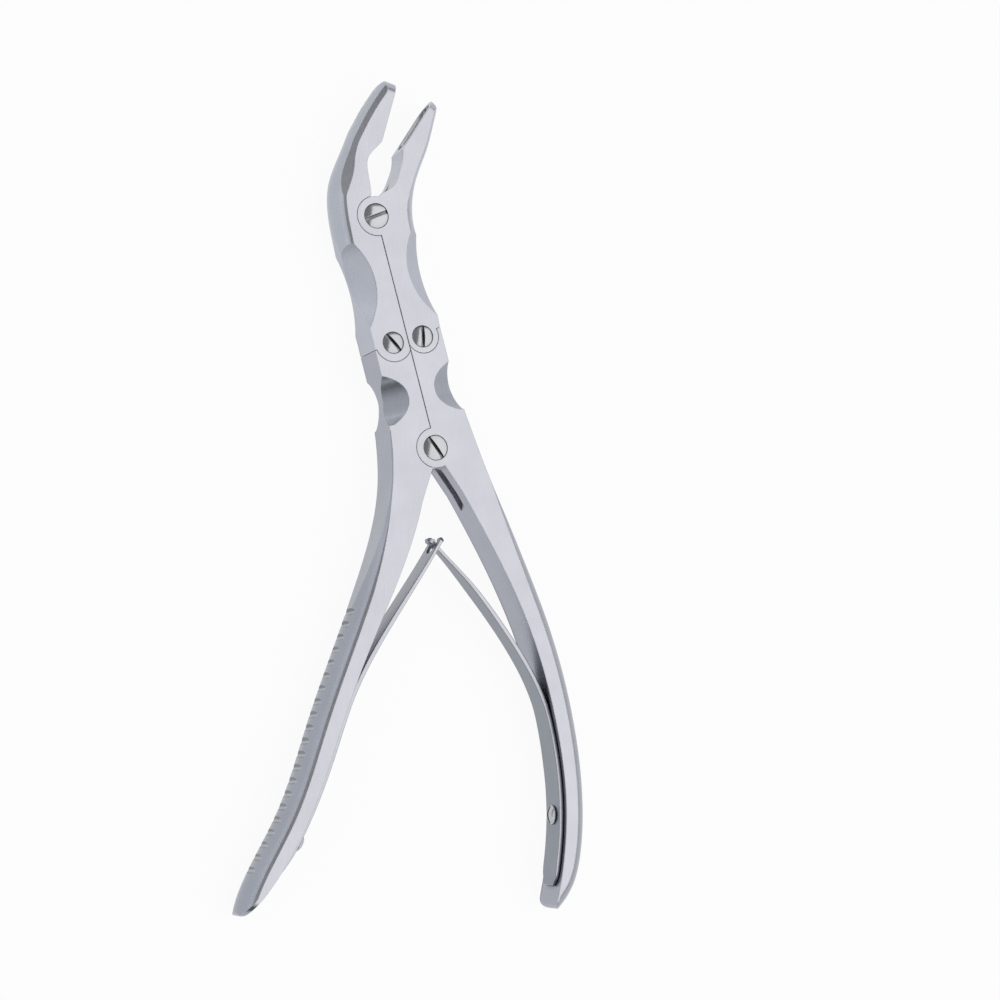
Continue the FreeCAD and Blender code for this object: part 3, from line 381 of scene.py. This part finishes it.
def spring_leaf(name, points, seat_side, width, slot_half, slot_deep, screw_at, foot_round):
    """A strip bent along a curve, with rounded edges, a beaded tip, a slot and a screw hole.

    Each half of the strip is a grid of rows along the curve and columns from the strip's middle, or
    from the slot's or hole's edge, to its outer edge. The two faces lie half a thickness to each side
    of the curve. Near an edge the thickness falls to nothing as the fourth root of one minus the
    fourth power of the distance left, so the edge is flat with rounded corners and the faces meet.
    """
    length = np.linalg.norm(np.diff(np.array(points), axis=0), axis=1).sum()
    rows = leaf_rows(length, slot_half, slot_deep, screw_at)

    # Outer edge, and inner edge at the slot or the hole.
    to_end = np.minimum((rows + TIP_CUT) / TIP_ROUND, (length - rows + FOOT_CUT) / foot_round)
    outer = half_width_at(rows, *width) * np.sqrt(1 - (1 - np.clip(to_end, 0, 1)) ** 2)
    slot = np.where(rows < slot_deep - slot_half, slot_half,
                    np.sqrt(np.clip(slot_half ** 2 - (rows - slot_deep + slot_half) ** 2, 0, None)))
    slot = np.where(rows < slot_deep, slot, 0.0)
    hole = np.sqrt(np.clip(PIN_RADIUS ** 2 - (rows - screw_at) ** 2, 0, None))
    inner = np.maximum(slot, hole)[:, None]
    outer = outer[:, None]

    # Columns from the inner to the outer edge, close together at both.
    room = outer - inner
    near = np.minimum(EDGE_STEPS, room * 0.4)
    middle = inner + near[:, -1:] + (room - 2 * near[:, -1:]) * np.linspace(0, 1, COLUMNS)[1:-1]
    across = np.concatenate([inner + near, middle, (outer - near)[:, ::-1]], axis=1)
    behind_tip = np.repeat(rows[:, None], across.shape[1], axis=1)

    # Thickness: body, bead and rounded edges.
    to_slot = np.full(across.shape, length)
    if slot_deep > 0:
        to_slot = np.hypot(np.clip(behind_tip - (slot_deep - slot_half), 0, None), across) - slot_half
    to_hole = np.hypot(behind_tip - screw_at, across) - PIN_RADIUS
    to_edge = np.minimum.reduce([outer - across, to_slot, to_hole, length - behind_tip, behind_tip])
    left = 1 - np.clip(np.where(to_edge < EDGE_GAP, 0, to_edge) / EDGE_STEPS[-1], 0, 1)
    rounded = (1 - left ** 4) ** 0.25
    bead = BEAD_HEIGHT * np.exp(-((rows - BEAD_MIDDLE) / BEAD_SPREAD) ** 2)
    tip = np.sqrt(np.clip(1 - (1 - np.clip(rows / BEAD_MIDDLE, 0, 1)) ** 2, 0, 1))
    body = (TIP_HALF + (LEAF_HALF - TIP_HALF) * smooth(rows, *THIN_TIP)
            - (LEAF_HALF - FOOT_HALF) * smooth(rows, length - THIN_FOOT, length))
    thick = ((body + bead) * tip)[:, None] * rounded

    # The thinner foot stays on its seat.
    place, normal = along_path(points, rows)
    sunk = smooth(rows, length - SEATED_FOOT, length) * (LEAF_HALF - body)
    place = place + seat_side * normal * sunk[:, None]

    # Two faces of two halves. Half of these sheets run back across the leaf, so that all look outwards.
    sheets = []
    for half in (1, -1):
        for side in (1, -1):
            flat = place[:, None, :] + side * thick[:, :, None] * normal[:, None, :]
            sheets.append(np.dstack([flat, LEAF_MIDDLE + half * across])[:, ::-half * side])
    return closed_piece(name, sheets, "spring_steel")


# Each leaf follows both handles by half where they cross, so a blend runs as far again past it.
left_leaf = spring_leaf("left_leaf_strip", LEFT_LEAF, seat_side=-1, width=LEFT_WIDTH, slot_half=2.1,
                        slot_deep=5.0, screw_at=87.3, foot_round=2.2)
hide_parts("left_spring_leaf")
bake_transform(left_leaf)
right_leaf = spring_leaf("right_leaf_strip", RIGHT_LEAF, seat_side=1, width=RIGHT_WIDTH, slot_half=0.0,
                         slot_deep=0.0, screw_at=82.8, foot_round=5.0)
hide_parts("right_spring_leaf")
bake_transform(right_leaf)


# The wall of the right jaw's tip


# The right jaw's tip, and the lean of its bite line from the upright.
RIGHT_TIP = np.array([4.019, 104.714])
RIGHT_BITE = math.radians(31.55)
# The jaw's outer face stands off its bite line by a parabola of the distance behind the tip, in mm:
# these are the constant, the share of the distance and the share of its square.
TIP_FACE = (0.124, 1.0872, -0.0678)
# The wall's middle behind the tip, half its length and height, its thickness, and how far it lies
# below the jaw's outer face.
WALL_MIDDLE = 2.85
WALL_HALF_LENGTH = 1.35
WALL_HALF_HEIGHT = 1.25
WALL_THICK = 0.12
WALL_BELOW = 0.04
WALL_RINGS = 8
WALL_SIDES = 32


def jaw_tip_wall(name):
    """A lens that closes the cup behind the tip, where the solid's wall runs out.

    Rings of points go round an ellipse in the jaw's length and height. The outer face follows the
    jaw's outer face just below it, and the inner face lies under it by a paraboloid's thickness.
    """
    ring, turn = np.meshgrid(np.linspace(0, 1, WALL_RINGS), np.linspace(0, 2 * math.pi, WALL_SIDES + 1),
                             indexing="ij")
    behind = WALL_MIDDLE + WALL_HALF_LENGTH * ring * np.cos(turn)
    height = LEAF_MIDDLE + WALL_HALF_HEIGHT * ring * np.sin(turn)
    face = TIP_FACE[0] + TIP_FACE[1] * behind + TIP_FACE[2] * behind ** 2 - WALL_BELOW
    under = face - WALL_THICK * (1 - ring ** 2)
    forward = np.array([math.sin(RIGHT_BITE), math.cos(RIGHT_BITE)])
    outward = np.array([math.cos(RIGHT_BITE), -math.sin(RIGHT_BITE)])
    flats = [RIGHT_TIP - behind[..., None] * forward + out[..., None] * outward for out in (face, under)]
    upper, lower = [np.dstack([flat, height]) for flat in flats]
    return closed_piece(name, [upper, lower[:, ::-1]], "jaw_steel")


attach(jaw_tip_wall("right_jaw_tip_wall"), "right_jaw_lever")


# Table, light and camera


TABLE_RADIUS = 3.0
TABLE_SIDES = 64
BACKDROP_HEIGHT = 0.7
# The paper's share of plain white where the camera or a reflection sees it. The rest takes shadow.
PAPER_GLOW = 0.93
WORLD_STRENGTH = 0.24
WHITE = (1.0, 1.0, 1.0, 1.0)


def plain_mesh(name, corners, faces):
    """An object made of flat faces between given corners."""
    mesh = bpy.data.meshes.new(name)
    mesh.from_pydata(corners, [], faces)
    return placed_object(name, mesh)


def white_paper(name):
    """Matt white paper, which looks white in the frame and still shows the object's shadow."""
    material, tree, shader = new_material(name)
    shader.inputs["Base Color"].default_value = srgb("#FDFDFE")
    shader.inputs["Roughness"].default_value = 0.9
    glow = add(tree, "Emission", {"Color": WHITE, "Strength": 1.0})
    ray = add(tree, "LightPath").outputs
    seen = add(tree, "Math", {0: ray["Is Camera Ray"], 1: ray["Is Glossy Ray"]},
               operation="MAXIMUM").outputs[0]
    seen = add(tree, "Math", {0: seen, 1: ray["Is Transmission Ray"]}, operation="MAXIMUM").outputs[0]
    share = add(tree, "Math", {0: seen, 1: PAPER_GLOW}, operation="MULTIPLY").outputs[0]
    both = add(tree, "MixShader", {"Fac": share, 1: shader.outputs["BSDF"], 2: glow.outputs["Emission"]})
    tree.links.new(both.outputs["Shader"], tree.nodes["Material Output"].inputs["Surface"])
    return material


turns = [2 * math.pi * step / TABLE_SIDES for step in range(TABLE_SIDES)]
edge = [(TABLE_RADIUS * math.cos(turn), TABLE_RADIUS * math.sin(turn)) for turn in turns]
after = [(step + 1) % TABLE_SIDES for step in range(TABLE_SIDES)]
table = plain_mesh("table_top", [(x, y, 0) for x, y in edge], [tuple(range(TABLE_SIDES))])
backdrop = plain_mesh("backdrop", [(x, y, z) for z in (0, BACKDROP_HEIGHT) for x, y in edge],
                      [(step, after[step], TABLE_SIDES + after[step], TABLE_SIDES + step)
                       for step in range(TABLE_SIDES)])
paper = white_paper("matt_white_paper")
for background in (table, backdrop):
    background.data.materials.append(paper)

scene = bpy.context.scene
scene.view_settings.view_transform = "Standard"
world = bpy.data.worlds.new("studio")
scene.world = world
world.use_nodes = True
world.node_tree.nodes["Background"].inputs["Color"].default_value = WHITE
world.node_tree.nodes["Background"].inputs["Strength"].default_value = WORLD_STRENGTH


def softbox(name, place, width, height, power):
    """A rectangular lamp that faces the rongeur, its sizes in metres and its power in watts."""
    lamp = bpy.data.lights.new(name, "AREA")
    lamp.shape = "RECTANGLE"
    lamp.size = width
    lamp.size_y = height
    lamp.energy = power
    made = placed_object(name, lamp)
    made.location = place
    made.rotation_euler = (-Vector(place)).to_track_quat("-Z", "Y").to_euler()


softbox("key_softbox", place=(0.36, -0.05, 0.6), width=1.9, height=1.0, power=5.2)
softbox("left_strip", place=(-0.79, 0.1, 0.44), width=2.2, height=0.62, power=2.9)

# The camera looks at its aim, turned to the left and leant towards the grips.
CAMERA_AIM = Vector((0.024166, -0.001082, 0.00633))
CAMERA_DISTANCE = 0.65
CAMERA_TURN = math.radians(22)
CAMERA_LEAN = math.radians(7)
SENSOR_WIDTH = 36
LENS = 88.63
towards = Vector((-math.sin(CAMERA_TURN) * math.cos(CAMERA_LEAN), -math.sin(CAMERA_LEAN),
                  math.cos(CAMERA_TURN) * math.cos(CAMERA_LEAN)))
across = Vector((math.cos(CAMERA_TURN), 0, math.sin(CAMERA_TURN)))
upward = towards.cross(across)
camera = placed_object("camera", bpy.data.cameras.new("camera"))
camera.data.sensor_width = SENSOR_WIDTH
camera.data.lens = LENS
camera.matrix_world = (Matrix.Translation(CAMERA_AIM + CAMERA_DISTANCE * towards)
                       @ Matrix((across, upward, towards)).transposed().to_4x4())
scene.camera = camera
